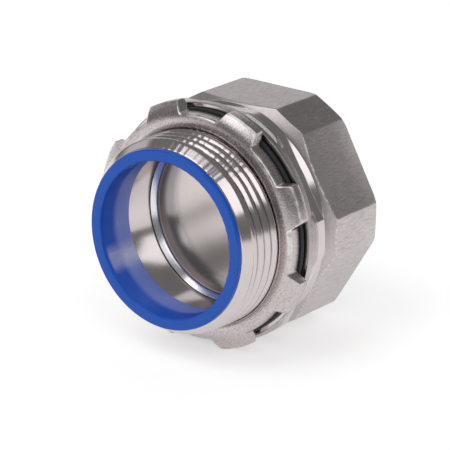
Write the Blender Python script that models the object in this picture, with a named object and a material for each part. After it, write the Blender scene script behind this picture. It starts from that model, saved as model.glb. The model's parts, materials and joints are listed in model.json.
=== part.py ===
"""Liquid-tight straight conduit connector in stainless steel, lying at rest.

The fitting is turned about one axis. Stations are distances along that axis from the
open mouth of the throat liner towards the gland nut, and radii are distances from it.
Every piece is modelled about the local +Y axis, with the lowest side facing local -Z.
The fitting then lies as it would on a table: the rear edge of the gland nut's lowest
flat and two lugs of the locknut touch the ground.
"""

import math

import bmesh
import bpy

# Fits, in metres
CLEARANCE = 0.0003
CONDUIT_SLIP = 0.00025

# Hub: tapered outlet thread, wrench flange and the spigot that carries the gland nut
THREAD_RADIUS = 0.0210
THREAD_LENGTH = 0.0141
THREAD_TAPER = 1.0 / 32.0
THREAD_WALL = 0.00293
NOSE_CHAMFER = 0.0012
FLANGE_THICKNESS = 0.0048
FLANGE_RIM_LENGTH = 0.0016
FLANGE_RIM_INSET = 0.00022
FLANGE_EDGE = 0.0002
FLANGE_CORNER_STEP = 0.00177
FLANGE_TURN = math.radians(3.0)
SHOULDER_SETBACK = 0.0032
SPIGOT_LENGTH = 0.0111
SPIGOT_WALL = 0.00115
SPIGOT_CHAMFER = 0.0004
COLLAR_STEP = 0.0006
STOP_STEP = 0.0010
STOP_LAND = 0.0003

# Throat liner: a lipped plastic bush pushed into the mouth of the hub
LINER_LIP_THICKNESS = 0.0007
LINER_LIP_OVERHANG = 0.0011
LINER_LENGTH = 0.0099
LINER_STRAIGHT = 0.0050
LINER_WALL = 0.00135
LINER_END_WALL = 0.00095
LINER_EDGE_RADIUS = 0.00045

# Locknut: a dished ring with lugs that bend back round the sealing gasket
LOCKNUT_THICKNESS = 0.0030
LOCKNUT_RING_WIDTH = 0.0024
LOCKNUT_CROWN_WIDTH = 0.0002
LOCKNUT_COVE_WIDTH = 0.0009
LOCKNUT_ROLL = 0.0012
LOCKNUT_DISH = 0.0007
LUG_COUNT = 8
LUG_HEIGHT = 0.0026
LUG_DISH = 0.0010
LUG_EDGE_THICKNESS = 0.0020
LUG_TIP_ANGLE = math.radians(16.6)
LUG_ROOT_ANGLE = math.radians(22.2)
LUG_ROOT_FILLET = 0.0007
LUG_EDGE_FILLET = 0.0003

# Sealing gasket between the locknut and the flange
GASKET_WIDTH = 0.0032
GASKET_THICKNESS = 0.0009
GASKET_EDGE_RADIUS = 0.00025

# Conduit that the fitting takes: a little smaller outside than the outlet thread
CONDUIT_UNDERSIZE = 0.00005
CONDUIT_WALL = 0.00365

# Gland nut
NUT_LENGTH = 0.0161
NUT_STANDOFF = 0.0029
NUT_WALL = 0.00138
CORNER_STEP = 0.00147
NUT_FRONT_LAND = 0.0008
NUT_ENTRY_CHAMFER = 0.0004
NUT_REAR_CHAMFER = 0.0012
FLANGE_SLOPE = math.radians(45.0)
NUT_FRONT_SLOPE = math.radians(35.0)
NUT_REAR_SLOPE = math.radians(60.0)

# Compression ring wedged between the spigot's end and the nut's inner cone
RING_STRAIGHT = 0.0019
RING_CONE = math.radians(30.0)
RING_END_WIDTH = 0.0004
RING_SLIP = 0.0001

# Ferrule that screws into the conduit
FERRULE_FLANGE_THICKNESS = 0.0028
FERRULE_MOUTH_LENGTH = 0.0039
FERRULE_BARREL_LENGTH = 0.0057
FERRULE_BARREL_STEP = 0.0006
FERRULE_CONE_LENGTH = 0.0016
FERRULE_LENGTH = 0.0200
SLEEVE_WALL = 0.0010
TURNED_EDGE = 0.0002

# Facets
SEGMENTS = 72
HALF_STEP = math.pi / SEGMENTS
ARC_STEPS = 3
NOTCH_FACETS = 5
FILLET_REACH = 0.45

# How far a cutter runs past what it cuts
CUT_PAST = 0.0006

# Stations that follow from the sizes above
NOSE = LINER_LIP_THICKNESS + CLEARANCE
FLANGE_FRONT = NOSE + THREAD_LENGTH
FLANGE_REAR = FLANGE_FRONT + FLANGE_THICKNESS
RIM_REAR = FLANGE_FRONT + FLANGE_RIM_LENGTH
SHOULDER = FLANGE_FRONT + SHOULDER_SETBACK
SPIGOT_END = FLANGE_REAR + SPIGOT_LENGTH
NUT_FRONT = FLANGE_REAR + NUT_STANDOFF
NUT_REAR = NUT_FRONT + NUT_LENGTH
STOP_REAR = NUT_FRONT - CLEARANCE
GASKET_REAR = FLANGE_FRONT - CLEARANCE
GASKET_FRONT = GASKET_REAR - GASKET_THICKNESS
LOCKNUT_REAR = GASKET_FRONT - CLEARANCE
LOCKNUT_FRONT = LOCKNUT_REAR - LOCKNUT_THICKNESS

# Radii that follow from the sizes above
HUB_BORE = THREAD_RADIUS - THREAD_WALL
CONDUIT_RADIUS = THREAD_RADIUS - CONDUIT_UNDERSIZE
SLEEVE_RADIUS = CONDUIT_RADIUS - CONDUIT_WALL
COUNTERBORE = CONDUIT_RADIUS + CONDUIT_SLIP
SPIGOT_RADIUS = COUNTERBORE + SPIGOT_WALL
COLLAR_RADIUS = SPIGOT_RADIUS + COLLAR_STEP
STOP_RADIUS = COLLAR_RADIUS + STOP_STEP
NUT_BORE = SPIGOT_RADIUS + CLEARANCE
HALF_FLATS = NUT_BORE + NUT_WALL
HALF_CUT_CORNERS = HALF_FLATS + CORNER_STEP
RIM_RADIUS = HALF_CUT_CORNERS - FLANGE_RIM_INSET
FLANGE_RADIUS = HALF_FLATS + FLANGE_CORNER_STEP
GASKET_BORE = THREAD_RADIUS + CLEARANCE
GASKET_RADIUS = GASKET_BORE + GASKET_WIDTH
LOCKNUT_BORE = THREAD_RADIUS + CLEARANCE
NOTCH_RADIUS = LOCKNUT_BORE + LOCKNUT_RING_WIDTH
LUG_RADIUS = NOTCH_RADIUS + LUG_HEIGHT
LUG_REAR = LOCKNUT_FRONT + LOCKNUT_DISH + LUG_DISH + LUG_EDGE_THICKNESS


def fillet(corners):
    """Round a profile: each corner is (radius, station, fillet), an arc where fillet > 0.

    A fillet takes at most the share FILLET_REACH of the edges beside it.
    """
    points = []
    count = len(corners)
    for index, (x, y, size) in enumerate(corners):
        if size <= 0.0:
            points.append((x, y))
            continue
        before = corners[index - 1]
        after = corners[(index + 1) % count]
        to_before = (before[0] - x, before[1] - y)
        to_after = (after[0] - x, after[1] - y)
        length_before = math.hypot(*to_before)
        length_after = math.hypot(*to_after)
        a = (to_before[0] / length_before, to_before[1] / length_before)
        b = (to_after[0] / length_after, to_after[1] / length_after)
        half_angle = 0.5 * math.acos(max(-1.0, min(1.0, a[0] * b[0] + a[1] * b[1])))
        longest = FILLET_REACH * min(length_before, length_after)
        reach = min(size / math.tan(half_angle), longest)
        radius = reach * math.tan(half_angle)
        to_centre = (a[0] + b[0], a[1] + b[1])
        centre_length = math.hypot(*to_centre)
        distance = radius / math.sin(half_angle)
        centre = (x + to_centre[0] / centre_length * distance,
                  y + to_centre[1] / centre_length * distance)
        start = math.atan2(y + a[1] * reach - centre[1], x + a[0] * reach - centre[0])
        end = math.atan2(y + b[1] * reach - centre[1], x + b[0] * reach - centre[0])
        sweep = (end - start + math.pi) % (2.0 * math.pi) - math.pi
        for step in range(ARC_STEPS + 1):
            angle = start + sweep * step / ARC_STEPS
            points.append((centre[0] + radius * math.cos(angle),
                           centre[1] + radius * math.sin(angle)))
    return points


def new_object(name, bm):
    """Make an object of the closed mesh in bm, with its faces pointing out."""
    bmesh.ops.recalc_face_normals(bm, faces=bm.faces[:])
    mesh = bpy.data.meshes.new(name)
    bm.to_mesh(mesh)
    bm.free()
    obj = bpy.data.objects.new(name, mesh)
    bpy.context.scene.collection.objects.link(obj)
    return obj


def turned(name, profile):
    """Turn a closed profile of (radius, station) points right round the axis."""
    bm = bmesh.new()
    verts = [bm.verts.new((radius, station, 0.0)) for radius, station in profile]
    edges = [bm.edges.new((verts[i], verts[(i + 1) % len(verts)])) for i in range(len(verts))]
    bmesh.ops.spin(bm, geom=verts + edges, cent=(0.0, 0.0, 0.0), axis=(0.0, 1.0, 0.0),
                   angle=2.0 * math.pi, steps=SEGMENTS, use_merge=True)
    return new_object(name, bm)


def turned_solid(name, outline, phase=0.0):
    """Turn an open outline that starts and ends on the axis into a solid of revolution.

    Its facets start at the angle phase. Two turned solids of different phase share no edge.
    """
    bm = bmesh.new()
    rings = []
    for radius, station in outline:
        if radius < 1e-9:
            rings.append([bm.verts.new((0.0, station, 0.0))])
            continue
        ring = []
        for step in range(SEGMENTS):
            angle = phase + 2.0 * math.pi * step / SEGMENTS
            ring.append(bm.verts.new((radius * math.cos(angle), station, -radius * math.sin(angle))))
        rings.append(ring)
    for lower, upper in zip(rings[:-1], rings[1:]):
        for step in range(SEGMENTS):
            following = (step + 1) % SEGMENTS
            if len(lower) == 1:
                bm.faces.new((lower[0], upper[step], upper[following]))
            elif len(upper) == 1:
                bm.faces.new((lower[step], lower[following], upper[0]))
            else:
                bm.faces.new((lower[step], lower[following], upper[following], upper[step]))
    return new_object(name, bm)


def extruded(name, outline, front, rear):
    """Extrude an outline of (x, z) points from the front station to the rear station."""
    bm = bmesh.new()
    face = bm.faces.new([bm.verts.new((x, front, z)) for x, z in outline])
    swept = bmesh.ops.extrude_face_region(bm, geom=[face])
    moved = [item for item in swept["geom"] if isinstance(item, bmesh.types.BMVert)]
    bmesh.ops.translate(bm, verts=moved, vec=(0.0, rear - front, 0.0))
    return new_object(name, bm)


def combine(obj, tool, operation):
    """Apply an exact Boolean of obj with tool, and remove the tool."""
    modifier = obj.modifiers.new(operation.lower(), "BOOLEAN")
    modifier.operation = operation
    modifier.object = tool
    modifier.solver = "EXACT"
    depsgraph = bpy.context.evaluated_depsgraph_get()
    mesh = bpy.data.meshes.new_from_object(obj.evaluated_get(depsgraph))
    mesh.name = obj.name
    obj.modifiers.clear()
    obj.data = mesh
    bpy.data.objects.remove(tool)


def wrench_outline():
    """Hexagon with cut corners: (x, z) points, one long flat facing down.

    A long flat at distance HALF_FLATS meets a short flat, 30 degrees on, at distance
    HALF_CUT_CORNERS. Their shared corner follows from those two distances.
    """
    along = HALF_CUT_CORNERS - HALF_FLATS * math.cos(math.radians(30.0))
    half_long = along / math.sin(math.radians(30.0))
    corner_radius = math.hypot(HALF_FLATS, half_long)
    corner_angle = math.atan2(half_long, HALF_FLATS)
    points = []
    for side in range(6):
        middle = math.radians(60.0 * side)
        for angle in (middle - corner_angle, middle + corner_angle):
            points.append((corner_radius * math.sin(angle), -corner_radius * math.cos(angle)))
    return points


def hexagon_outline(turn):
    """Full hexagon: (x, z) points, its flats at distance HALF_FLATS, one facing down."""
    corner_radius = HALF_FLATS / math.cos(math.radians(30.0))
    angles = [math.radians(60.0 * side + 30.0) + turn for side in range(6)]
    return [(corner_radius * math.sin(a), -corner_radius * math.cos(a)) for a in angles]


def chamfered_prism(name, outline, limit, ends, circles, slopes):
    """Prism of an outline, turned down to a limit radius, with its end edges turned back.

    Cones run from the two face circles out to the limit. Each of ends, circles and slopes
    holds the value at the front and the one at the rear.
    """
    front, rear = ends
    front_circle, rear_circle = circles
    front_slope, rear_slope = slopes
    prism = extruded(name, outline, front, rear)
    envelope = [(0.0, front - CUT_PAST),
                (front_circle - CUT_PAST / math.tan(front_slope), front - CUT_PAST),
                (limit, front + (limit - front_circle) * math.tan(front_slope)),
                (limit, rear - (limit - rear_circle) / math.tan(rear_slope)),
                (rear_circle - CUT_PAST * math.tan(rear_slope), rear + CUT_PAST),
                (0.0, rear + CUT_PAST)]
    combine(prism, turned_solid("turned_envelope", envelope, HALF_STEP), "INTERSECT")
    return prism


def make_hub():
    """Hub body: thread blank, rimmed wrench flange, stop collar and spigot, bored through.

    The flange is turned round, and its six flats are milled between the rim and its rear.
    The stop collar's forward cone runs out to the nut's front face.
    """
    taper = THREAD_LENGTH - NOSE_CHAMFER
    crest = THREAD_RADIUS - taper * THREAD_TAPER
    outline = [(0.0, NOSE),
               (crest - NOSE_CHAMFER, NOSE),
               (crest, NOSE + NOSE_CHAMFER),
               (THREAD_RADIUS, FLANGE_FRONT),
               (RIM_RADIUS - FLANGE_EDGE, FLANGE_FRONT),
               (RIM_RADIUS, FLANGE_FRONT + FLANGE_EDGE),
               (RIM_RADIUS, RIM_REAR),
               (COLLAR_RADIUS, RIM_REAR),
               (COLLAR_RADIUS, STOP_REAR - STOP_LAND - STOP_STEP),
               (STOP_RADIUS, STOP_REAR - STOP_LAND),
               (STOP_RADIUS, STOP_REAR),
               (SPIGOT_RADIUS, STOP_REAR),
               (SPIGOT_RADIUS, SPIGOT_END - SPIGOT_CHAMFER),
               (SPIGOT_RADIUS - SPIGOT_CHAMFER, SPIGOT_END),
               (0.0, SPIGOT_END)]
    hub = turned_solid("hub_body", outline)
    flange = chamfered_prism("flange_blank", hexagon_outline(FLANGE_TURN), FLANGE_RADIUS,
                             (0.5 * (FLANGE_FRONT + RIM_REAR), FLANGE_REAR),
                             (RIM_RADIUS - CLEARANCE, HALF_CUT_CORNERS),
                             (FLANGE_SLOPE, NUT_REAR_SLOPE))
    combine(hub, flange, "UNION")
    bore = [(0.0, NOSE - CUT_PAST),
            (HUB_BORE, NOSE - CUT_PAST),
            (HUB_BORE, SHOULDER),
            (COUNTERBORE, SHOULDER),
            (COUNTERBORE, SPIGOT_END + CUT_PAST),
            (0.0, SPIGOT_END + CUT_PAST)]
    combine(hub, turned_solid("bore_cutter", bore, HALF_STEP), "DIFFERENCE")
    return hub


def make_liner():
    """Insulated throat: a thin bush with a rolled lip over the hub's nose."""
    tube = HUB_BORE - CLEARANCE
    mouth = tube - LINER_WALL
    lip = tube + LINER_LIP_OVERHANG
    corners = [(mouth, 0.0, LINER_EDGE_RADIUS),
               (mouth, LINER_STRAIGHT, 0.0),
               (tube - LINER_END_WALL, LINER_LENGTH, TURNED_EDGE),
               (tube, LINER_LENGTH, TURNED_EDGE),
               (tube, LINER_LIP_THICKNESS, 0.0),
               (lip, LINER_LIP_THICKNESS, 0.0),
               (lip, 0.0, LINER_EDGE_RADIUS)]
    return turned("insulated_throat", fillet(corners))


def flared_mouth(bore, start, flare, length):
    """Corners of a flared mouth: a quarter of an ellipse from a bore out to bore + flare.

    It starts in the bore, and ends length nearer to the front.
    """
    corners = []
    for step in range(ARC_STEPS + 1):
        angle = 0.5 * math.pi * step / ARC_STEPS
        corners.append((bore + flare * (1.0 - math.cos(angle)), start - length * math.sin(angle), 0.0))
    return corners


def notch_outline(middle):
    """Space between two lugs: (x, z) points, wider at the rim than at its root.

    Its root is an arc at NOTCH_RADIUS, in an odd number of facets so that none of its points
    lies on the locknut's own facet edges, and its flanks run straight out past the rim.
    """
    pitch = 2.0 * math.pi / LUG_COUNT
    root_half = 0.5 * (pitch - LUG_ROOT_ANGLE)
    tip_half = 0.5 * (pitch - LUG_TIP_ANGLE)
    root_x = NOTCH_RADIUS * math.sin(root_half)
    root_y = NOTCH_RADIUS * math.cos(root_half)
    tip_x = LUG_RADIUS * math.sin(tip_half)
    tip_y = LUG_RADIUS * math.cos(tip_half)
    rim_y = LUG_RADIUS + CUT_PAST
    rim_x = root_x + (tip_x - root_x) * (rim_y - root_y) / (tip_y - root_y)
    arc = [root_half * (1.0 - 2.0 * step / NOTCH_FACETS) for step in range(1, NOTCH_FACETS)]
    corners = [(-rim_x, rim_y, 0.0), (rim_x, rim_y, 0.0), (root_x, root_y, LUG_ROOT_FILLET)]
    corners += [(NOTCH_RADIUS * math.sin(a), NOTCH_RADIUS * math.cos(a), 0.0) for a in arc]
    corners += [(-root_x, root_y, LUG_ROOT_FILLET)]
    points = []
    for x, y in fillet(corners):
        points.append((x * math.cos(middle) + y * math.sin(middle),
                       y * math.cos(middle) - x * math.sin(middle)))
    return points


def make_locknut():
    """Dished locknut: a turned section with one notch between each pair of lugs."""
    crown = LOCKNUT_BORE + LOCKNUT_ROLL + LOCKNUT_CROWN_WIDTH
    dish = LOCKNUT_FRONT + LOCKNUT_DISH
    lug_front = dish + LUG_DISH
    skirt = GASKET_RADIUS + CLEARANCE
    corners = [(LOCKNUT_BORE, LOCKNUT_REAR, 0.0)]
    corners += flared_mouth(LOCKNUT_BORE, LOCKNUT_FRONT + LOCKNUT_ROLL, LOCKNUT_ROLL, LOCKNUT_ROLL)
    corners += [(crown, LOCKNUT_FRONT, 0.0),
                (crown + LOCKNUT_COVE_WIDTH, dish, 0.0),
                (LUG_RADIUS - LUG_EDGE_FILLET, lug_front - LUG_EDGE_FILLET * 0.5, 0.0),
                (LUG_RADIUS, lug_front + LUG_EDGE_FILLET * 0.5, 0.0),
                (LUG_RADIUS, LUG_REAR, 0.0),
                (skirt, LUG_REAR, 0.0),
                (skirt, LOCKNUT_REAR, 0.0)]
    locknut = turned("locknut", fillet(corners))
    pitch = 2.0 * math.pi / LUG_COUNT
    for index in range(LUG_COUNT):
        middle = math.pi + pitch * index
        cutter = extruded("notch_cutter", notch_outline(middle),
                          LOCKNUT_FRONT - CUT_PAST, LUG_REAR + CUT_PAST)
        combine(locknut, cutter, "DIFFERENCE")
    return locknut


def make_gasket():
    """Flat rubber sealing washer on the outlet thread."""
    corners = [(GASKET_BORE, GASKET_FRONT, 0.0),
               (GASKET_RADIUS, GASKET_FRONT, GASKET_EDGE_RADIUS),
               (GASKET_RADIUS, GASKET_REAR, GASKET_EDGE_RADIUS),
               (GASKET_BORE, GASKET_REAR, 0.0)]
    return turned("sealing_gasket", fillet(corners))


def ring_shoulder():
    """Station where the compression ring's outer cone starts."""
    return SPIGOT_END + CLEARANCE + RING_STRAIGHT


def make_ring():
    """Compression ring: a tapered plastic olive that grips the conduit's jacket."""
    inner = CONDUIT_RADIUS + RING_SLIP
    outer = NUT_BORE - CLEARANCE
    end = inner + RING_END_WIDTH
    shoulder = ring_shoulder()
    rear = shoulder + (outer - end) / math.tan(RING_CONE)
    corners = [(inner, SPIGOT_END + CLEARANCE, 0.0),
               (outer, SPIGOT_END + CLEARANCE, 0.0),
               (outer, shoulder, 0.0),
               (end, rear, 0.0),
               (inner, rear, 0.0)]
    return turned("compression_ring", fillet(corners))


def make_ferrule():
    """Ferrule: a flange seated on the hub's shoulder, a flared mouth and a plain sleeve."""
    front = SHOULDER + CLEARANCE
    flange = COUNTERBORE - CLEARANCE
    barrel = HUB_BORE + FERRULE_BARREL_STEP
    barrel_end = front + FERRULE_BARREL_LENGTH
    cone_end = barrel_end + FERRULE_CONE_LENGTH
    rear = front + FERRULE_LENGTH
    inner = SLEEVE_RADIUS - SLEEVE_WALL
    corners = [(inner, rear, TURNED_EDGE)]
    corners += flared_mouth(inner, front + FERRULE_MOUTH_LENGTH, HUB_BORE - inner,
                            FERRULE_MOUTH_LENGTH)
    corners += [(flange, front, 0.0),
                (flange, front + FERRULE_FLANGE_THICKNESS, 0.0),
                (barrel, front + FERRULE_FLANGE_THICKNESS, 0.0),
                (barrel, barrel_end, 0.0),
                (SLEEVE_RADIUS, cone_end, 0.0),
                (SLEEVE_RADIUS, rear, TURNED_EDGE)]
    return turned("ferrule", fillet(corners))


def make_nut():
    """Gland nut: chamfered wrench prism, bored over the spigot, with an inner cone."""
    outline = wrench_outline()
    limit = max(math.hypot(x, z) for x, z in outline) + CUT_PAST
    nut = chamfered_prism("compression_nut", outline, limit, (NUT_FRONT, NUT_REAR),
                          (NUT_BORE + NUT_FRONT_LAND, HALF_FLATS + NUT_REAR_CHAMFER),
                          (NUT_FRONT_SLOPE, NUT_REAR_SLOPE))
    exit_bore = CONDUIT_RADIUS + CONDUIT_SLIP + RING_SLIP
    cone_start = ring_shoulder() + CLEARANCE * math.tan(0.5 * RING_CONE)
    cone_end = cone_start + (NUT_BORE - exit_bore) / math.tan(RING_CONE)
    entry = NUT_BORE + NUT_ENTRY_CHAMFER + CUT_PAST
    bore = [(0.0, NUT_FRONT - CUT_PAST),
            (entry, NUT_FRONT - CUT_PAST),
            (NUT_BORE, NUT_FRONT + NUT_ENTRY_CHAMFER),
            (NUT_BORE, cone_start),
            (exit_bore, cone_end),
            (exit_bore, NUT_REAR + CUT_PAST),
            (0.0, NUT_REAR + CUT_PAST)]
    combine(nut, turned_solid("nut_bore_cutter", bore), "DIFFERENCE")
    return nut


def principled(name, colour, roughness, metallic):
    """Principled material of one plain colour."""
    material = bpy.data.materials.new(name)
    material.use_nodes = True
    shader = material.node_tree.nodes["Principled BSDF"]
    shader.inputs["Base Color"].default_value = (*colour, 1.0)
    shader.inputs["Roughness"].default_value = roughness
    shader.inputs["Metallic"].default_value = metallic
    material.diffuse_color = (*colour, 1.0)
    return material


def finish(obj, material):
    """Give a piece its material and smooth shading with crisp edges."""
    obj.data.materials.clear()
    obj.data.materials.append(material)
    obj.data.shade_smooth()
    obj.data.set_sharp_from_angle(angle=math.radians(30.0))


def lie_at_rest(pieces):
    """Tilt the axis onto the lugs and the nut's rear edge, and centre the fitting.

    Two lugs stand either side of the lowest notch. The line from their rear corners to
    the rear edge of the nut's lowest flat becomes the ground, and the middle of the
    fitting's box comes above the origin.
    """
    lowest_lug = LUG_RADIUS * math.cos(0.5 * (2.0 * math.pi / LUG_COUNT - LUG_TIP_ANGLE))
    tilt = math.atan2(lowest_lug - HALF_FLATS, NUT_REAR - LUG_REAR)
    axis = bpy.data.objects.new("fitting_axis", None)
    bpy.context.scene.collection.objects.link(axis)
    axis.rotation_euler = (-tilt, 0.0, 0.0)
    for piece in pieces:
        piece.parent = axis
    bpy.context.view_layer.update()
    corners = [piece.matrix_world @ vertex.co for piece in pieces for vertex in piece.data.vertices]
    low = [min(corner[i] for corner in corners) for i in range(3)]
    high = [max(corner[i] for corner in corners) for i in range(3)]
    axis.location = (-0.5 * (low[0] + high[0]), -0.5 * (low[1] + high[1]), -low[2])
    bpy.context.view_layer.update()


def main():
    for obj in list(bpy.data.objects):
        bpy.data.objects.remove(obj)
    steel = (0.56, 0.53, 0.52)
    finishes = [(make_hub, "turned_steel", steel, 0.22, 1.0),
                (make_liner, "blue_plastic", (0.03, 0.12, 0.55), 0.35, 0.0),
                (make_locknut, "pressed_steel", (0.5, 0.47, 0.46), 0.35, 1.0),
                (make_gasket, "black_rubber", (0.02, 0.024, 0.026), 0.6, 0.0),
                (make_nut, "brushed_steel", steel, 0.3, 1.0),
                (make_ring, "nylon", (0.85, 0.84, 0.8), 0.45, 0.0),
                (make_ferrule, "ferrule_steel", (0.45, 0.42, 0.4), 0.4, 1.0)]
    pieces = []
    for make, name, colour, roughness, metallic in finishes:
        piece = make()
        finish(piece, principled(name, colour, roughness, metallic))
        pieces.append(piece)
    lie_at_rest(pieces)


main()
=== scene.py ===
"""Looks of the liquid-tight conduit connector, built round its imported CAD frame.

Every piece is a surface on a grid, carried round the fitting's own axis. Lengths in the piece
functions are millimetres: a station is the distance along the axis from the open mouth of the
throat liner towards the gland nut, a radius is the distance from the axis, and an angle runs
from the top towards the right-hand side as seen from the mouth.
"""

import json
import math

import bpy
import numpy as np
from mathutils import Matrix, Vector


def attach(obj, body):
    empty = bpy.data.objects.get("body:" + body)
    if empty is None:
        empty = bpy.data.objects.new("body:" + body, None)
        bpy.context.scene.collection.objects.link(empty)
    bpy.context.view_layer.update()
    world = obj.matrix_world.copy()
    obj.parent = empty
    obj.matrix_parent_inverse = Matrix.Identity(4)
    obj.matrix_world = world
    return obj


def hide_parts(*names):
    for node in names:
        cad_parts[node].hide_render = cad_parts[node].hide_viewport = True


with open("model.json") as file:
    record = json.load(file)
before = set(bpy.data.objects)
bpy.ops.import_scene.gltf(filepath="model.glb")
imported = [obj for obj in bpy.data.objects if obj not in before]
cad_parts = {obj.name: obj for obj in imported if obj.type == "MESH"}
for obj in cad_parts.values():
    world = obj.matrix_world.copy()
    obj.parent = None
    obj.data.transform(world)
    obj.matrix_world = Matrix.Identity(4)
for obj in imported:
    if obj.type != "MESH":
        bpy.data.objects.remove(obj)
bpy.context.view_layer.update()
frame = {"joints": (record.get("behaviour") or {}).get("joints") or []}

# Axis of the fitting, from the gland nut's joint
MM = 0.001
AXIS_STATION = 20.0
nut_joint = next(joint for joint in frame["joints"] if joint["name"] == "nut_turn")
AXIS = np.array(nut_joint["axis"]) / np.linalg.norm(nut_joint["axis"])
BASE = np.array(nut_joint["pos_m"]) - AXIS * AXIS_STATION * MM
TILT = math.atan2(-AXIS[2], AXIS[1])
UP = np.array((0.0, math.sin(TILT), math.cos(TILT)))

# Clear space between pieces that turn or slide on each other, in millimetres as all below
GAP = 0.3

# Hub: nose, outlet thread, wrench flange with its rim, stop collar, spigot and bores
HUB_BORE = 18.07
NOSE = 1.0
NOSE_CIRCLE = 18.95
NOSE_SLOPE = 0.82
THREAD_CREST = 21.0
THREAD_TAPER = 1.0 / 32.0
THREAD_END = 14.9
OUTLET_PITCH = 2.209
OUTLET_START = 2.14
OUTLET_DEPTH = 0.8
FLANGE_FRONT = 15.1
RIM_REAR = 16.7
RIM_RADIUS = 25.28
FLANGE_REAR = 19.9
FLANGE_RADIUS = 25.8
FLANGE_TURN = -3.0
HALF_FLATS = 24.03
COLLAR_RADIUS = 22.95
STOP_RADIUS = 23.95
STOP_REAR = 22.5
SPIGOT_RADIUS = 22.35
SPIGOT_END = 31.0
SPIGOT_PITCH = 2.0
SPIGOT_DEPTH = 0.62
COUNTERBORE = 21.2
SHOULDER = 18.3

# Throat liner
LINER_REAR = 9.9
LINER_LIP = 0.97
# Station about which the rear of the liner's bore takes a painted pale reflection
LINER_REFLECTION = 4.5

# Locknut and its gasket
LOCKNUT_FRONT = 10.3
LOCKNUT_REAR = 13.6
LOCKNUT_BORE = 20.7
LOCKNUT_ROOT = 20.12
LOCKNUT_PLAY = 0.12
LOCKNUT_CROWN = 22.1
LOCKNUT_BEND = 22.4
LOCKNUT_CURVE = 0.125
NOTCH_RADIUS = 23.9
LUG_COUNT = 8
LUG_RADIUS = 26.3
LUG_REAR = 14.3
SKIRT_RADIUS = 24.8
GASKET_BORE = 21.3
GASKET_RADIUS = 24.3
GASKET_FRONT = 13.9
GASKET_REAR = 14.8

# Gland nut, compression ring and ferrule
NUT_FRONT = 22.8
NUT_REAR = 38.9
HALF_CUT_CORNERS = 25.5
CONDUIT_BORE = 21.3
RING_BORE = 21.05
RING_BAND = 1.9
CONE_SLOPE = math.sqrt(3.0)
FERRULE_BORE = 16.3
FERRULE_LENGTH = 20.0
SLEEVE_RADIUS = 17.28
SCREW_PITCH = 3.2
SCREW_HEIGHT = 0.45


def smooth(value, low, high):
    """Ease from 0 to 1 between low and high: 3 t^2 - 2 t^3."""
    t = np.clip((value - low) / (high - low), 0.0, 1.0)
    return t * t * (3.0 - 2.0 * t)


def soft_least(choices, blend):
    """Least of each column, its corners eased: -log(sum(exp(-blend r))) / blend."""
    least = choices.min(axis=0)
    return least - np.log(np.exp(-blend * (choices - least)).sum(axis=0)) / blend


def facing_planes(angles, count, distance, turn):
    """Radius at which each of count even planes is met: distance / cos(angle - its own angle)."""
    own = np.radians(np.arange(count) * 360.0 / count + turn)[:, None]
    return distance / np.maximum(np.cos(angles[None, :] - own), 0.5)


def nut_radius(angles):
    """Radius of the gland nut: six wrench flats, and a short flat across each corner."""
    return soft_least(np.concatenate((facing_planes(angles, 6, HALF_FLATS, 0.0),
                                      facing_planes(angles, 6, HALF_CUT_CORNERS, 30.0))), 14.0)


def flange_radius(angles):
    """Radius of the flange: six wrench flats milled into a turned disc."""
    round_edge = np.full((1, len(angles)), FLANGE_RADIUS)
    return soft_least(np.concatenate((facing_planes(angles, 6, HALF_FLATS, FLANGE_TURN),
                                      round_edge)), 20.0)


def angles_for(turn, even):
    """Angles right round, with extra ones close to the wrench corners."""
    corner = math.degrees(math.atan2((HALF_CUT_CORNERS - HALF_FLATS * math.cos(math.pi / 6))
                                     / math.sin(math.pi / 6), HALF_FLATS))
    middles = np.arange(6) * 60.0 + turn
    corners = np.concatenate((middles - corner, middles + corner))
    beside = np.array((-1.6, -0.9, -0.45, -0.15, 0.15, 0.45, 0.9, 1.6))
    close = (corners[:, None] + beside).ravel()
    merged = np.sort(np.concatenate((np.arange(even) * 360.0 / even, close)) % 360.0)
    keep = np.concatenate(((True,), np.diff(merged) > 0.09))
    return np.radians(merged[keep])


def quadratic(start, corner, end, steps):
    """Points of (1 - t)^2 start + 2 t (1 - t) corner + t^2 end, for t from 0 to 1."""
    parts = [step / steps for step in range(steps + 1)]
    return [(1 - t) ** 2 * start + 2 * t * (1 - t) * corner + t * t * end for t in parts]


def section(corners, columns, steps=4):
    """Rows of a closed section: corners are (radius, station, reach) in order round it.

    A corner with a reach becomes a quadratic curve that starts and ends that far before and
    after it, or at most 0.45 of the way to its neighbour.
    """
    place = [np.stack((np.broadcast_to(r, columns), np.broadcast_to(s, columns)))
             for r, s, _ in corners]
    rows = []
    for index, (_, _, reach) in enumerate(corners):
        here = place[index]
        if reach <= 0.0:
            rows.append(here)
            continue
        ends = []
        for other in (place[index - 1], place[(index + 1) % len(corners)]):
            way = other - here
            length = np.maximum(np.hypot(way[0], way[1]), 1e-6)
            ends.append(here + way * np.minimum(reach / length, 0.45))
        rows += quadratic(ends[0], here, ends[1], steps)
    return np.array(rows)


def row_count(corners, steps=4):
    """Rows that section makes of corners: 1 for a sharp corner, steps + 1 for a rounded one."""
    return sum(steps + 1 if reach > 0.0 else 1 for _, _, reach in corners)


def band_rows(radius, station):
    """Rows of a band, from its radius at each station and angle."""
    return np.stack(np.broadcast_arrays(radius, station), 1)


def in_row_frame(radius, station, angle):
    """Points in the row frame: BASE + station AXIS + radius (sin angle X + cos angle UP)."""
    across = radius * np.sin(angle) * MM
    points = station[..., None] * MM * AXIS + (radius * np.cos(angle) * MM)[..., None] * UP + BASE
    points[..., 0] += across
    return points


def add_object(name, data):
    """Object of a mesh, a lamp or a camera, put into the scene."""
    obj = bpy.data.objects.new(name, data)
    bpy.context.scene.collection.objects.link(obj)
    return obj


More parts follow.
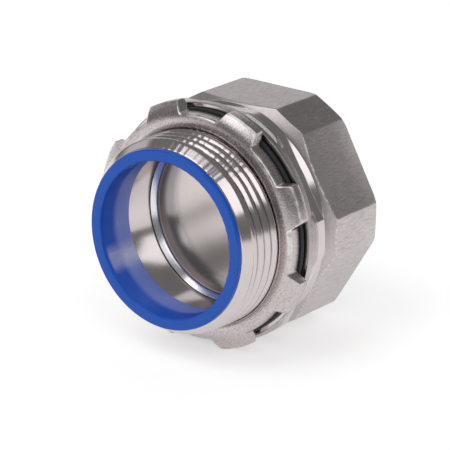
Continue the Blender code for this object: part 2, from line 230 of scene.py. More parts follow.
def grid_piece(name, rows, angles, finish):
    """Ring of rows, each the radius and the station at every angle, with its faces out.

    Rows and columns wrap round, so the surface closes on itself both ways. Its signed volume,
    a sixth of the sum of a . (b x c) over its triangles, says whether the faces are turned.
    """
    points = in_row_frame(rows[:, 0], rows[:, 1], angles)
    count, columns = points.shape[:2]
    flat = points.reshape(-1, 3)
    row, column = np.meshgrid(np.arange(count), np.arange(columns), indexing="ij")
    next_row = (row + 1) % count
    next_column = (column + 1) % columns
    quads = np.stack((row * columns + column, row * columns + next_column,
                      next_row * columns + next_column, next_row * columns + column), -1)
    quads = quads.reshape(-1, 4)
    a, b, c, d = (flat[quads[:, k]] for k in range(4))
    volume = np.einsum("ij,ij->i", a, np.cross(b, c)) + np.einsum("ij,ij->i", a, np.cross(c, d))
    if volume.sum() < 0.0:
        quads = quads[:, ::-1]
    mesh = bpy.data.meshes.new(name)
    mesh.vertices.add(len(flat))
    mesh.vertices.foreach_set("co", flat.ravel())
    mesh.loops.add(quads.size)
    mesh.loops.foreach_set("vertex_index", quads.ravel())
    mesh.polygons.add(len(quads))
    mesh.polygons.foreach_set("loop_start", np.arange(0, quads.size, 4))
    mesh.update(calc_edges=True)
    mesh.validate()
    mesh.shade_smooth()
    mesh.set_sharp_from_angle(angle=math.radians(32.0))
    mesh.materials.append(finish)
    return add_object(name, mesh)


def ring_piece(name, corners, angles, finish, steps=4):
    """Closed ring from a section whose corners may vary with the angle."""
    return grid_piece(name, section(corners, angles.shape, steps), angles, finish)


def mark_worn_highlight_edge(piece, columns, first, count):
    """Attribute of the edge rows: 1 on count rows of a ring from the first, 0 on the others. The
    finishes paint these rows lighter, partly as wear and partly as a painted highlight.
    """
    mark = np.zeros((len(piece.data.vertices) // columns, columns), dtype=np.float32)
    mark[first:first + count] = 1.0
    layer = piece.data.attributes.new("worn_highlight_edge", "FLOAT", "POINT")
    layer.data.foreach_set("value", mark.ravel())


class Value:
    """A shader socket in an expression: each operator adds its Math node."""

    def __init__(self, nodes, socket):
        self.nodes = nodes
        self.socket = socket

    def __add__(self, other):
        return self.nodes.math("ADD", self, other)

    def __radd__(self, other):
        return self.nodes.math("ADD", other, self)

    def __sub__(self, other):
        return self.nodes.math("SUBTRACT", self, other)

    def __rsub__(self, other):
        return self.nodes.math("SUBTRACT", other, self)

    def __mul__(self, other):
        return self.nodes.math("MULTIPLY", self, other)

    def __rmul__(self, other):
        return self.nodes.math("MULTIPLY", other, self)

    def __truediv__(self, other):
        return self.nodes.math("DIVIDE", self, other)

    def __rtruediv__(self, other):
        return self.nodes.math("DIVIDE", other, self)

    def __pow__(self, other):
        return self.nodes.math("POWER", self, other)

    def __rpow__(self, other):
        return self.nodes.math("POWER", other, self)


class Nodes:
    """A node tree, of a material or of the world, built node by node."""

    def __init__(self, tree):
        self.tree = tree

    def feed(self, socket, value):
        """Link a value to a socket, or set a number or a colour on it."""
        if isinstance(value, Value):
            self.tree.links.new(value.socket, socket)
        else:
            socket.default_value = value

    def node(self, kind, settings, inputs, output=0):
        """Add a node: its settings first, then the value or link of each named socket."""
        made = self.tree.nodes.new(kind)
        for name, setting in settings.items():
            setattr(made, name, setting)
        for name, value in inputs.items():
            self.feed(made.inputs[name], value)
        return Value(self, made.outputs[output])

    def math(self, operation, *values):
        """Math node on values and numbers."""
        return self.node("ShaderNodeMath", {"operation": operation}, dict(enumerate(values)))


class Finish(Nodes):
    """A procedural material. On a piece it knows its place about the fitting's axis, in mm.

    There local is the vector (x, station, z), and radius and angle are as in the pieces.
    """

    def __init__(self, name, on_piece=True):
        self.material = bpy.data.materials.new(name)
        self.material.use_nodes = True
        super().__init__(self.material.node_tree)
        self.shader = self.tree.nodes["Principled BSDF"]
        if on_piece:
            self.find_axis()

    def find_axis(self):
        """Turn Object coordinates into local and its parts, into radius and angle."""
        place = self.node("ShaderNodeTexCoord", {}, {}, "Object")
        self.local = self.node("ShaderNodeMapping", {"vector_type": "TEXTURE"},
                               {"Vector": place, "Location": tuple(BASE),
                                "Rotation": (-TILT, 0.0, 0.0), "Scale": (MM, MM, MM)})
        parts = self.node("ShaderNodeSeparateXYZ", {}, {"Vector": self.local}).socket.node.outputs
        self.x, self.station, self.z = (Value(self, part) for part in parts)
        self.radius = (self.x * self.x + self.z * self.z) ** 0.5
        self.angle = self.math("ARCTAN2", self.x, self.z)

    def noise(self, vector, scale, detail=3.0, roughness=0.55):
        """Noise from about 0 to 1."""
        return self.node("ShaderNodeTexNoise", {}, {"Vector": vector, "Scale": scale,
                                                    "Detail": detail, "Roughness": roughness})

    def vector(self, x, y, z):
        """Vector of three values."""
        return self.node("ShaderNodeCombineXYZ", {}, {"X": x, "Y": y, "Z": z})

    def drawn_out(self, across, along):
        """Vector that draws a pattern out along the axis: its scales across and along it."""
        return self.vector(self.x * across, self.station * along, self.z * across)

    def ease(self, value, low, high):
        """0 below low, 1 above high, eased between."""
        return self.node("ShaderNodeMapRange", {"interpolation_type": "SMOOTHSTEP"},
                         {"Value": value, "From Min": low, "From Max": high})

    def mix(self, factor, first, second):
        """Colour between first and second, each a colour or a link.

        Sockets 6 and 7 of a Mix node are its two colours, and output 2 is its colour.
        """
        colours = [(*c, 1.0) if isinstance(c, tuple) else c for c in (first, second)]
        return self.node("ShaderNodeMix", {"data_type": "RGBA"},
                         {0: factor, 6: colours[0], 7: colours[1]}, 2)

    def worn_highlight_edge(self):
        """The mark left on a piece's edge rows, which the finishes paint lighter, partly as wear
        and partly as a painted highlight.
        """
        return self.node("ShaderNodeAttribute", {"attribute_name": "worn_highlight_edge"}, {}, "Fac")

    def surface(self, **sockets):
        """Set or link the shader's own sockets, spaces in their names given as underscores."""
        for name, value in sockets.items():
            value = (*value, 1.0) if isinstance(value, tuple) else value
            self.feed(self.shader.inputs[name.replace("_", " ")], value)

    def relief(self, height, distance, strength=1.0):
        """Bump of a height field, whose full height is distance in millimetres."""
        bump = self.node("ShaderNodeBump", {}, {"Height": height, "Distance": distance * MM,
                                                "Strength": strength})
        self.surface(Normal=bump)


def turned_steel():
    """Turned stainless: rings round the axis, painted shade in the thread's grooves, and chatter
    marks on the thread.

    A point's count of turns is station / pitch - angle / 2 pi. There are 80 chatter marks
    round the thread, on its upper side, and each turn's marks are shifted from the last's.
    """
    f = Finish("turned_steel")
    station, radius, angle = f.station, f.radius, f.angle
    rings = f.noise(f.vector(f.x / radius * 2.0, station * 9.0, radius * 9.0), 1.0, 2.0)
    smears = f.noise(f.local, 0.35, 3.0)
    cast = f.noise(f.local, 5.5, 2.0, 0.7)
    thread = f.ease(radius, 18.6, 18.8) * (1.0 - f.ease(station, 12.4, 12.6))
    rim = f.ease(radius, 25.0, 25.1) * (1.0 - f.ease(station, 17.3, 17.6))
    turns = station / OUTLET_PITCH - angle / (2.0 * math.pi)
    chatter = f.math("SINE", angle * 80.0 + f.math("ROUND", turns + 0.12) * 2.4)
    upper = f.ease(f.math("COSINE", angle - 0.25), 0.86, 0.95) * thread
    phase = turns - OUTLET_START / OUTLET_PITCH
    away = f.math("ABSOLUTE", phase - f.math("ROUND", phase))
    # Painted shade: the floors of the thread's grooves are darkened in the colour
    groove = (1.0 - f.ease(away, 0.03, 0.12)) * thread * f.ease(station, 2.8, 3.6)
    tone = f.mix(smears, (0.585, 0.53, 0.535), (0.65, 0.595, 0.6))
    tone = f.mix(groove * 0.65, tone, (0.16, 0.145, 0.145))
    tone = f.mix(rim * f.ease(cast, 0.45, 0.6) * 0.6, tone, (0.22, 0.205, 0.2))
    f.surface(Base_Color=tone, Metallic=1.0,
              Roughness=0.1 + rings * 0.06 + smears * 0.05 + rim * 0.2 + upper * 0.06)
    f.relief(rings * 0.14 + rim * cast * 5.0 + upper * chatter * 1.5, 0.012)
    return f.material


def pressed_steel():
    """Locknut: satin grain with sparkle, painted light in the bore, and front edges lightened on
    the upper side, partly wear and partly a painted highlight.
    """
    f = Finish("pressed_steel")
    grain = f.noise(f.local, 2.6, 3.0, 0.75)
    fine = f.noise(f.local, 5.0, 2.0, 0.7)
    blotch = f.noise(f.local, 0.5, 3.0)
    # Front edge rows made lighter on the upper side only: partly wear, partly a painted highlight
    worn = f.worn_highlight_edge() * (0.2 + 0.8 * f.ease(blotch, 0.4, 0.55)) * f.ease(f.z, -6.0, 8.0)
    # Painted light: the bore and its rolled edge are made paler than the rest
    bore = 1.0 - f.ease(f.radius, 21.3, 22.1)
    tone = f.mix(blotch, (0.5, 0.455, 0.445), (0.61, 0.56, 0.55))
    tone = f.mix(f.ease(grain, 0.5, 0.64) * 0.6, tone, (0.29, 0.26, 0.255))
    tone = f.mix(f.ease(fine, 0.56, 0.66) * 0.6, tone, (0.9, 0.86, 0.85))
    tone = f.mix(worn, tone, (0.9, 0.87, 0.86))
    tone = f.mix(bore * 0.7, tone, (0.88, 0.84, 0.83))
    f.surface(Base_Color=tone, Metallic=1.0,
              Roughness=0.17 + fine * 0.14 + blotch * 0.06 + worn * 0.08)
    f.relief(grain * 0.7 + fine * 0.3, 0.06, 0.8)
    return f.material


def brushed_steel():
    """Gland nut: fine brushing along the axis, stray specks, and front edges lightened at the
    sides, partly wear and partly a painted highlight.
    """
    f = Finish("brushed_steel")
    brushed = f.noise(f.drawn_out(7.0, 0.5), 1.0, 3.0, 0.6)
    streak = f.noise(f.drawn_out(2.2, 0.16), 1.0, 2.0)
    cloud = f.noise(f.local, 0.12, 2.0)
    dusty = f.ease(f.noise(f.local, 0.22, 2.0), 0.43, 0.6)
    specks = f.ease(f.noise(f.local, 3.4, 2.0, 0.75), 0.64, 0.69) * dusty
    chipped = f.ease(f.noise(f.local, 1.1, 2.0, 0.7), 0.44, 0.58)
    # Front edge rows made light at the sides: partly wear, partly a painted highlight
    worn = f.worn_highlight_edge() * chipped * f.ease(f.x * f.x, 150.0, 300.0)
    specks = f.math("MAXIMUM", specks, worn * 0.8)
    tone = f.mix(cloud, (0.54, 0.49, 0.49), (0.64, 0.59, 0.585))
    tone = f.mix(f.ease(brushed, 0.4, 0.65) * 0.6, tone, (0.34, 0.31, 0.31))
    tone = f.mix(specks, tone, (0.92, 0.9, 0.88))
    f.surface(Base_Color=tone, Metallic=1.0 - specks * 0.8,
              Roughness=0.25 + brushed * 0.16 + streak * 0.08)
    f.relief(brushed * 0.7 + streak * 0.3 + specks * 0.8, 0.03)
    return f.material


def ferrule_steel():
    """Ferrule: painted highlight on the edge of its mouth, painted shade and a dark painted
    reflection in the throat behind it, and a plain, rougher sleeve further back.
    """
    f = Finish("ferrule_steel")
    station, radius = f.station, f.radius
    rings = f.noise(f.vector(f.x / radius * 2.0, station * 6.0, radius * 6.0), 1.0, 2.0)
    cloud = f.noise(f.local, 0.18, 3.0, 0.6)
    # Painted highlight: the edge of the ferrule's mouth is made paler
    edge = 1.0 - f.ease(station, 19.5, 19.9)
    # Painted shade and a dark painted reflection: the throat behind the mouth is darkened
    throat = f.ease(station, 19.8, 20.4) * (1.0 - f.ease(station, 23.5, 27.0))
    sleeve = f.ease(station, 24.3, 26.0)
    tone = f.mix(cloud, (0.62, 0.56, 0.545), (0.76, 0.7, 0.685))
    tone = f.mix(throat * 0.7, tone, (0.16, 0.15, 0.175))
    tone = f.mix(edge * 0.8, tone, (0.86, 0.85, 0.86))
    f.surface(Base_Color=tone, Metallic=1.0,
              Roughness=0.14 + sleeve * 0.16 + rings * 0.06 + cloud * 0.06)
    f.relief(rings * 0.5 + cloud * 0.5, 0.02)
    return f.material


def blue_plastic():
    """Moulded liner: deep blue with fine flow lines, a painted pale reflection on the rear of its
    bore, and a painted highlight with a glossy coat on its lower left inside.
    """
    f = Finish("blue_plastic")
    flow = f.noise(f.drawn_out(2.6, 0.25), 1.0, 3.0)
    cloud = f.noise(f.local, 0.3, 2.0)
    pits = f.noise(f.local, 4.0, 2.0, 0.7)
    inner = f.ease(f.station, 0.5, 1.4)
    # Painted reflection: the rear of the liner's bore is mixed towards pale greyish blue
    painted_reflection = f.ease(f.station, LINER_REFLECTION - 0.9, LINER_REFLECTION + 1.3)
    # Painted highlight: a pale patch with a glossy coat on the lower left of the liner's bore
    painted_highlight = inner * f.ease(f.angle, -2.3, -2.08) * (1.0 - f.ease(f.angle, -2.04, -1.85))
    tone = f.mix(pits * 0.6, (0.005, 0.1, 0.56), (0.01, 0.12, 0.66))
    tone = f.mix(inner * 0.75, tone, (0.0005, 0.1, 0.62))
    tone = f.mix(painted_reflection * (0.5 + cloud * 0.3 + flow * 0.2), tone, (0.28, 0.36, 0.82))
    tone = f.mix(painted_highlight * (0.25 + flow * 0.6), tone, (0.68, 0.71, 0.92))
    f.surface(Base_Color=tone, Roughness=0.2 + cloud * 0.1, Specular_IOR_Level=0.35,
              Coat_Weight=painted_highlight, Coat_Roughness=0.2)
    f.relief(flow * 0.2 + pits * 0.5, 0.014)
    return f.material


def black_rubber():
    """Moulded rubber: dull, faintly mottled."""
    f = Finish("black_rubber")
    grain = f.noise(f.local, 5.0, 3.0, 0.6)
    f.surface(Base_Color=f.mix(grain, (0.012, 0.014, 0.015), (0.035, 0.042, 0.044)),
              Roughness=0.5 + grain * 0.15)
    f.relief(grain, 0.02)
    return f.material


def pale_nylon():
    """Compression ring: milky nylon with faint moulding marks."""
    f = Finish("pale_nylon")
    grain = f.noise(f.local, 1.2, 3.0)
    f.surface(Base_Color=f.mix(grain, (0.72, 0.71, 0.66), (0.86, 0.85, 0.81)),
              Roughness=0.38 + grain * 0.12)
    f.relief(grain, 0.02)
    return f.material


def helix_depth(station, angle, pitch, start, crest, root, worn=0.0):
    """Depth, 0 to 1, of a right-hand V thread at a station and angle.

    The phase is (station - start) / pitch - angle / 2 pi. Its distance from the middle of the
    groove runs from 0 to 0.5. The floor takes the first root, the flat crest the last crest,
    and a straight flank t joins them. A worn crest is rounded: (t + sqrt(t^2 + worn^2)) / 2.
    """
    phase = (station - start) / pitch - angle / (2.0 * np.pi)
    away = np.abs(phase - np.round(phase))
    t = (0.5 - 0.5 * crest - away) / (0.5 - 0.5 * crest - 0.5 * root)
    return np.clip(0.5 * (t + np.sqrt(t * t + worn * worn)), 0.0, 1.0)


def outlet_radius(station, angle):
    """Radius of the tapered outlet thread, whose first groove comes in gently from the nose."""
    depth = helix_depth(station, angle, OUTLET_PITCH, OUTLET_START, 0.18, 0.05, 0.4)
    crest = THREAD_CREST - (THREAD_END - station) * THREAD_TAPER
    return crest - OUTLET_DEPTH * depth * smooth(station, 2.4, 3.6)


def make_hub(finish):
    """Hub body: outlet thread, rimmed wrench flange, stop collar, threaded spigot and bores.

    The nose's bevel cuts the thread: soft_least of the thread's radius and of a cone that
    widens from NOSE_CIRCLE by NOSE_SLOPE.
    """
    angles = angles_for(FLANGE_TURN, 330)
    polygon = flange_radius(angles)
    rim_rear = RIM_REAR - 0.5 * smooth(polygon, RIM_RADIUS - 0.1, RIM_RADIUS + 0.1)
    nose = [(HUB_BORE, NOSE, 0.25),
            (NOSE_CIRCLE, NOSE, 0.08)]
    flange = [(THREAD_CREST, FLANGE_FRONT, 0.0),
              (RIM_RADIUS, FLANGE_FRONT, 0.18),
              (RIM_RADIUS, rim_rear, 0.08),
              (polygon, rim_rear + np.maximum(polygon - RIM_RADIUS, 0.0), 0.08),
              (polygon, FLANGE_REAR, 0.14),
              (COLLAR_RADIUS, FLANGE_REAR, 0.0),
              (COLLAR_RADIUS, STOP_REAR - 1.3, 0.1),
              (STOP_RADIUS, STOP_REAR - 0.3, 0.08),
              (STOP_RADIUS, STOP_REAR, 0.08),
              (SPIGOT_RADIUS, STOP_REAR, 0.0)]
    rear = [(SPIGOT_RADIUS, SPIGOT_END - 0.4, 0.0),
            (SPIGOT_RADIUS - 0.4, SPIGOT_END, 0.0),
            (COUNTERBORE, SPIGOT_END, 0.1),
            (COUNTERBORE, SHOULDER, 0.0),
            (HUB_BORE, SHOULDER, 0.1)]
    whole = section(nose + flange + rear, angles.shape)
    to_outlet = row_count(nose)
    to_spigot = to_outlet + row_count(flange)

    station = np.linspace(NOSE + 0.12, THREAD_END, 121)[:, None]
    thread = outlet_radius(station, angles[None, :])
    bevel = np.broadcast_to(NOSE_CIRCLE + (station - NOSE) * NOSE_SLOPE, thread.shape)
    outlet = band_rows(soft_least(np.stack((thread, bevel)), 9.0), station)

    station = np.linspace(STOP_REAR + 0.3, SPIGOT_END - 0.6, 50)[:, None]
    depth = helix_depth(station, angles[None, :], SPIGOT_PITCH, 0.0, 0.3, 0.1)
    fade = smooth(station, STOP_REAR + 0.3, STOP_REAR + 1.2)
    spigot = band_rows(SPIGOT_RADIUS - SPIGOT_DEPTH * depth * fade, station)

    rows = np.concatenate((whole[:to_outlet], outlet, whole[to_outlet:to_spigot],
                           spigot, whole[to_spigot:]))
    return grid_piece("hub", rows, angles, finish)


def make_liner(finish):
    """Throat liner: a bush with a rounded lip, its inner edge a little uneven from the mould.

    At angle a the edge lies 0.035 sin(23 a) sin(7 a + 1) + 0.02 sin(61 a) outside the mouth.
    """
    angles = np.radians(np.arange(0.0, 360.0, 1.0))
    tube = HUB_BORE - GAP
    mouth = tube - 1.35
    lip = tube + 1.1
    uneven = (0.035 * np.sin(angles * 23.0) * np.sin(angles * 7.0 + 1.0)
              + 0.02 * np.sin(angles * 61.0))
    corners = [(mouth + uneven, 0.0, 0.4),
               (mouth, 2.2, 0.8),
               (mouth, 4.95, 1.0),
               (tube - 0.95, LINER_REAR, 0.2),
               (tube, LINER_REAR, 0.15),
               (tube, LINER_LIP, 0.0),
               (lip, LINER_LIP, 0.06),
               (lip, 0.0, 0.35)]
    return ring_piece("throat_liner", corners, angles, finish, 5)


def rounded_outline(corners, steps=6):
    """Open chain of (x, y, reach) corners with each reach turned into a quadratic curve."""
    points = []
    for index, (x, y, reach) in enumerate(corners):
        here = np.array((x, y))
        if reach <= 0.0:
            points.append(here)
            continue
        ends = []
        for other in (corners[index - 1], corners[index + 1]):
            way = np.array(other[:2]) - here
            ends.append(here + way * min(reach / np.hypot(*way), 0.48))
        points += quadratic(ends[0], here, ends[1], steps)
    return np.array(points)


def locknut_outline():
    """Radius and angle of the locknut's edge right round, one notch and one lug at a time.

    Half a lug and half a notch are drawn, mirrored about the lug's middle, and repeated.
    """
    tip = math.radians(8.3)
    root = math.radians(11.1)
    pitch = 2.0 * math.pi / LUG_COUNT

    def polar(radius, angle, reach=0.0):
        return radius * math.sin(angle), radius * math.cos(angle), reach

    corners = [polar(LUG_RADIUS, a) for a in np.linspace(0.0, tip - math.radians(1.6), 6)]
    corners += [polar(LUG_RADIUS, tip, 0.5), polar(NOTCH_RADIUS, root, 0.95)]
    floor = np.linspace(root + math.radians(2.4), 0.5 * pitch, 7)
    corners += [polar(NOTCH_RADIUS, a) for a in floor]
    half = rounded_outline(corners)
    angle = np.arctan2(half[:, 0], half[:, 1])
    radius = np.hypot(half[:, 0], half[:, 1])
    one_angle = np.concatenate((-angle[:0:-1], angle[:-1]))
    one_radius = np.concatenate((radius[:0:-1], radius[:-1]))
    middles = pitch * (np.arange(LUG_COUNT) + 0.5)
    return np.tile(one_radius, LUG_COUNT), (middles[:, None] + one_angle[None, :]).ravel()


def make_locknut(finish):
    """Dished locknut: threaded bore, rings of constant radius on the crown, rows out to the edge.

    The bore lies LOCKNUT_PLAY outside the outlet thread, and no nearer than LOCKNUT_ROOT in
    front and LOCKNUT_BORE behind. A quarter of an ellipse rolls it over to the crown. The
    front bends back to the lug tips: front + LOCKNUT_CURVE (r - LOCKNUT_BEND)^2. A quarter of
    a circle rounds the front edge over, and behind the wall the lugs end in a step, a skirt
    round the gasket.
    """
    edge, angle = locknut_outline()
    bevel = 0.32 + 0.38 * (1.0 - smooth(edge, 24.0, 25.6))
    crown_end = 22.8

    def front(r):
        return LOCKNUT_FRONT + LOCKNUT_CURVE * np.maximum(r - LOCKNUT_BEND, 0.0) ** 2

    def rear(r):
        return LOCKNUT_REAR + (LUG_REAR - LOCKNUT_REAR) * smooth(r, SKIRT_RADIUS - 0.2,
                                                                 SKIRT_RADIUS + 0.05)

    def bore_row(station, least):
        station = np.full_like(edge, station)
        return np.maximum(outlet_radius(station, angle) + LOCKNUT_PLAY, least), station

    def round_row(radius, station):
        return np.full_like(edge, radius), np.full_like(edge, station)

    rows = [bore_row(s, LOCKNUT_ROOT + (LOCKNUT_BORE - LOCKNUT_ROOT) * smooth(s, 12.2, 12.8))
            for s in np.linspace(LOCKNUT_REAR, LOCKNUT_FRONT + 1.7, 14)]
    for a in np.linspace(0.04, 0.5 * math.pi, 14):
        least = LOCKNUT_ROOT + (LOCKNUT_CROWN - LOCKNUT_ROOT) * (1.0 - math.cos(a))
        rows.append(bore_row(LOCKNUT_FRONT + 1.6 * (1.0 - math.sin(a)), least))
    for r in np.arange(LOCKNUT_CROWN + 0.05, crown_end + 0.05, 0.06):
        rows.append(round_row(r, front(r)))
    for part in np.arange(1, 10) / 10.0:
        r = crown_end + (edge - bevel - crown_end) * part
        rows.append((r, front(r)))
    # Rows of the rounded front edge, which the finish paints lighter, partly as wear and partly
    # as a painted highlight
    worn_highlight_rows = 5
    first_worn_highlight = len(rows)
    for a in np.linspace(0.0, 0.5 * math.pi, worn_highlight_rows):
        rows.append((edge - bevel * (1.0 - math.sin(a)),
                     front(edge - bevel) + bevel * (1.0 - math.cos(a))))
    rows += [(edge, front(edge - bevel) + bevel + 0.12),
             (edge, 0.5 * (front(edge) + rear(edge))),
             (edge, rear(edge) - 0.12),
             (edge - 0.04, rear(edge) - 0.04),
             (edge - 0.12, rear(edge)),
             (np.minimum(edge - 0.2, SKIRT_RADIUS + 0.15), rear(edge)),
             (np.minimum(edge - 0.25, SKIRT_RADIUS + 0.05),
              rear(edge) - 0.1 * (edge > SKIRT_RADIUS + 0.1)),
             (np.minimum(edge - 0.3, SKIRT_RADIUS), np.full_like(edge, LOCKNUT_REAR)),
             round_row(22.9, LOCKNUT_REAR),
             round_row(22.0, LOCKNUT_REAR)]
    piece = grid_piece("locknut_ring", np.array(rows), angle, finish)
    mark_worn_highlight_edge(piece, len(edge), first_worn_highlight, worn_highlight_rows)
    return piece


def make_gasket(finish):
    """Sealing gasket: a flat washer with soft edges, its rim wavy by 0.04 sin(3 a + 0.6)."""
    angles = np.radians(np.arange(0.0, 360.0, 1.5))
    rim = GASKET_RADIUS + 0.04 * np.sin(angles * 3.0 + 0.6)
    corners = [(GASKET_BORE, GASKET_FRONT, 0.1),
               (rim, GASKET_FRONT, 0.3),
               (rim, GASKET_REAR, 0.25),
               (GASKET_BORE, GASKET_REAR, 0.1)]
    return ring_piece("gasket", corners, angles, finish)


def make_nut(finish):
    """Gland nut: turned front chamfer over brushed flats, bored for the spigot, inner cone.

    The chamfer climbs by tan 35 degrees from the front circle, so it meets the flats in arcs,
    and the rear one by tan 30 degrees. The inner cone lies at 30 degrees to the axis. Sharp
    corners on both sides of the front edge keep its worn rows narrow; the finish paints these
    rows lighter, partly as wear and partly as a painted highlight.
    """
    angles = angles_for(0.0, 300)
    polygon = nut_radius(angles)
    bore = SPIGOT_RADIUS + GAP
    front_circle = bore + 0.8
    slope = math.tan(math.radians(35.0))
    edge = NUT_FRONT + (polygon - front_circle) * slope
    face_circle = HALF_FLATS + 1.2
    rear_slope = math.tan(math.radians(30.0))
    rear_edge = NUT_REAR - 0.12 - np.maximum(polygon - face_circle, 0.0) * rear_slope
    cone_start = SPIGOT_END + GAP + RING_BAND + 0.08
    before = [(bore, NUT_FRONT + 0.4, 0.06),
              (bore + 0.4, NUT_FRONT, 0.06),
              (front_circle, NUT_FRONT, 0.08),
              (polygon - 0.3, edge - 0.3 * slope, 0.0)]
    # Rows of the front edge, which the finish paints lighter, partly as wear and partly as a
    # painted highlight
    worn = [(polygon, edge, 0.12)]
    behind = [(polygon, edge + 0.3, 0.0),
              (polygon, 28.0, 0.0),
              (polygon, 33.0, 0.0),
              (polygon, rear_edge, 0.1),
              (np.minimum(polygon - 0.16, face_circle), NUT_REAR, 0.06),
              (CONDUIT_BORE, NUT_REAR, 0.3),
              (CONDUIT_BORE, cone_start + (bore - CONDUIT_BORE) * CONE_SLOPE, 0.0),
              (bore, cone_start, 0.0)]
    steps = 3
    piece = ring_piece("gland_nut", before + worn + behind, angles, finish, steps)
    mark_worn_highlight_edge(piece, len(angles), row_count(before, steps), row_count(worn, steps))
    return piece


def make_ring(finish):
    """Compression ring: straight band, and an end that tapers at 30 degrees to the axis."""
    angles = np.radians(np.arange(0.0, 360.0, 2.0))
    front = SPIGOT_END + GAP
    shoulder = front + RING_BAND
    rear = shoulder + (SPIGOT_RADIUS - RING_BORE - 0.4) * CONE_SLOPE
    corners = [(RING_BORE, front, 0.1),
               (SPIGOT_RADIUS, front, 0.1),
               (SPIGOT_RADIUS, shoulder, 0.1),
               (RING_BORE + 0.4, rear, 0.1),
               (RING_BORE, rear, 0.08)]
    return ring_piece("gripping_ring", corners, angles, finish)


def make_ferrule(finish):
    """Ferrule: flange on the hub's shoulder, flared mouth, and a sleeve with a rolled screw.

    The mouth narrows from the hub's bore in two bends. The screw rises from the sleeve by
    SCREW_HEIGHT (1 - depth of a helix), and fades at both ends.
    """
    angles = np.radians(np.arange(0.0, 360.0, 1.25))
    front = SHOULDER + GAP
    flange_rear = front + 2.8
    neck_end = front + 5.7
    sleeve_start = neck_end + 1.6
    rear = front + FERRULE_LENGTH
    corners = [(FERRULE_BORE, rear, 0.15),
               (FERRULE_BORE, 0.5 * (rear + sleeve_start), 0.0),
               (FERRULE_BORE, sleeve_start, 0.0),
               (FERRULE_BORE, front + 3.9, 1.6),
               (HUB_BORE - 1.08, front + 1.0, 0.35),
               (HUB_BORE, front, 0.0),
               (COUNTERBORE - GAP, front, 0.1),
               (COUNTERBORE - GAP, flange_rear, 0.1),
               (HUB_BORE + 0.6, flange_rear, 0.3),
               (HUB_BORE + 0.6, neck_end, 0.2)]
    station = np.linspace(sleeve_start, rear - 0.3, 60)[:, None]
    ridge = 1.0 - helix_depth(station, angles[None, :], SCREW_PITCH, 0.0, 0.2, 0.45)
    fade = smooth(station, sleeve_start, sleeve_start + 1.0)
    fade = fade * (1.0 - smooth(station, rear - 1.2, rear - 0.4))
    sleeve = band_rows(SLEEVE_RADIUS + SCREW_HEIGHT * ridge * fade, station)
    rows = np.concatenate((section(corners, angles.shape), sleeve))
    return grid_piece("conduit_ferrule", rows, angles, finish)


PIECES = [(make_hub, turned_steel, "hub_body", "hub", "hub_steel"),
          (make_liner, blue_plastic, "insulated_throat", "hub", "throat_plastic"),
          (make_locknut, pressed_steel, "locknut", "locknut", "locknut_steel"),
          (make_gasket, black_rubber, "sealing_gasket", "seal", "gasket_rubber"),
          (make_nut, brushed_steel, "compression_nut", "nut", "nut_steel"),
          (make_ring, pale_nylon, "compression_ring", "gland", "ring_nylon"),
          (make_ferrule, ferrule_steel, "ferrule", "gland", "ferrule_steel")]
for make, finish, node, body, material_slot in PIECES:
    piece = make(finish())
    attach(piece, body)
    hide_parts(node)


def pale_floor():
    """Floor that keeps shadows, and shows nearly white to the camera and in the metal.

    Light Path adds a fixed glow for camera, glossy and transmission rays only.
    """
    f = Finish("pale_floor", on_piece=False)
    seen = f.node("ShaderNodeLightPath", {}, {}, "Is Camera Ray")
    rays = seen.socket.node.outputs
    for ray in ("Is Glossy Ray", "Is Transmission Ray"):
        seen = f.math("MAXIMUM", seen, Value(f, rays[ray]))
    f.surface(Base_Color=(0.8, 0.8, 0.8), Roughness=0.9, Specular_IOR_Level=0.0,
              Emission_Color=(1.0, 1.0, 1.0), Emission_Strength=seen * 0.5)
    return f.material


def make_floor():
    """Square floor, 8 m across, at the ground."""
    half = 4.0
    corners = [(-half, -half, 0.0), (half, -half, 0.0), (half, half, 0.0), (-half, half, 0.0)]
    mesh = bpy.data.meshes.new("floor")
    mesh.from_pydata(corners, [], [(0, 1, 2, 3)])
    mesh.materials.append(pale_floor())
    add_object("floor", mesh)


def make_world():
    """Even, slightly warm surroundings, dimmer where metal mirrors them."""
    world = bpy.data.worlds.new("studio")
    world.use_nodes = True
    bpy.context.scene.world = world
    nodes = Nodes(world.node_tree)
    mirrored = nodes.node("ShaderNodeLightPath", {}, {}, "Is Glossy Ray")
    level = nodes.node("ShaderNodeMapRange", {},
                       {"Value": mirrored, "To Min": 0.42, "To Max": 0.2})
    background = nodes.tree.nodes["Background"].inputs
    nodes.feed(background["Color"], (1.0, 0.985, 0.98, 1.0))
    nodes.feed(background["Strength"], level)


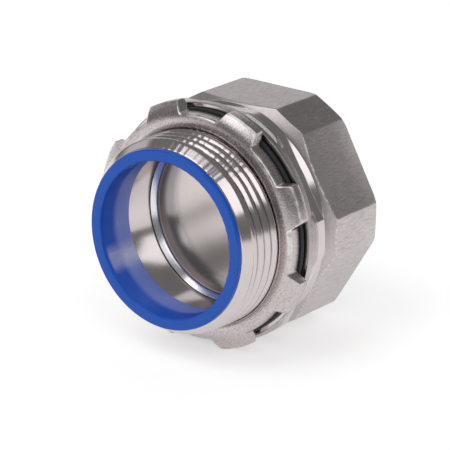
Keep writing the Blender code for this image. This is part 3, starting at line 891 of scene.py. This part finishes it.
def make_camera():
    """Camera at the photograph's place: its right and back directions give its turn."""
    data = bpy.data.cameras.new("camera")
    data.sensor_width = 36.0
    data.lens = 211.2
    data.clip_start = 0.01
    data.clip_end = 50.0
    right = Vector((0.7990884, 0.6011216, -0.0105148)).normalized()
    back = Vector((0.5603738, -0.7383573, 0.3752461)).normalized()
    turn = Matrix((right, back.cross(right), back)).transposed().to_4x4()
    camera = add_object("camera", data)
    camera.matrix_world = Matrix.Translation((0.3062674, -0.4025847, 0.2280392)) @ turn
    bpy.context.scene.camera = camera


# Point that the lamps face, inside the fitting, in metres
LAMP_AIM = Vector((0.0, 0.0, 0.025))


def soft_lamp(name, azimuth, elevation, width, height, glow, distance=1.0):
    """Area lamp, unseen by the camera, that faces the fitting from a distance in metres.

    Its azimuth runs from +Y towards +X, and its width and height are the angles that it fills,
    all in degrees. A lamp of power P and area A glows P / (pi A), so P = pi A glow.
    """
    a, e = math.radians(azimuth), math.radians(elevation)
    away = Vector((math.sin(a) * math.cos(e), math.cos(a) * math.cos(e), math.sin(e)))
    lamp = bpy.data.lights.new(name, "AREA")
    lamp.shape = "RECTANGLE"
    lamp.size = 2.0 * distance * math.tan(math.radians(0.5 * width))
    lamp.size_y = 2.0 * distance * math.tan(math.radians(0.5 * height))
    lamp.energy = math.pi * lamp.size * lamp.size_y * glow
    obj = add_object(name, lamp)
    obj.location = LAMP_AIM + away * distance
    obj.rotation_euler = away.to_track_quat("Z", "Y").to_euler()
    obj.visible_camera = False


make_floor()
make_world()
make_camera()
soft_lamp("front_top", -157.0, 54.0, 30.0, 36.0, 2.1)
soft_lamp("right_side", 129.0, 41.0, 26.0, 33.0, 1.4)
soft_lamp("back_left", -42.0, 20.0, 44.0, 32.0, 0.62)
soft_lamp("left", -88.0, 18.0, 24.0, 30.0, 0.5)
# A small card close behind the rear opening lights the bore and the ferrule's sleeve
soft_lamp("rear_card", 19.4, 12.5, 21.5, 20.0, 1.15, 0.087)

bpy.context.scene.view_settings.view_transform = "Standard"
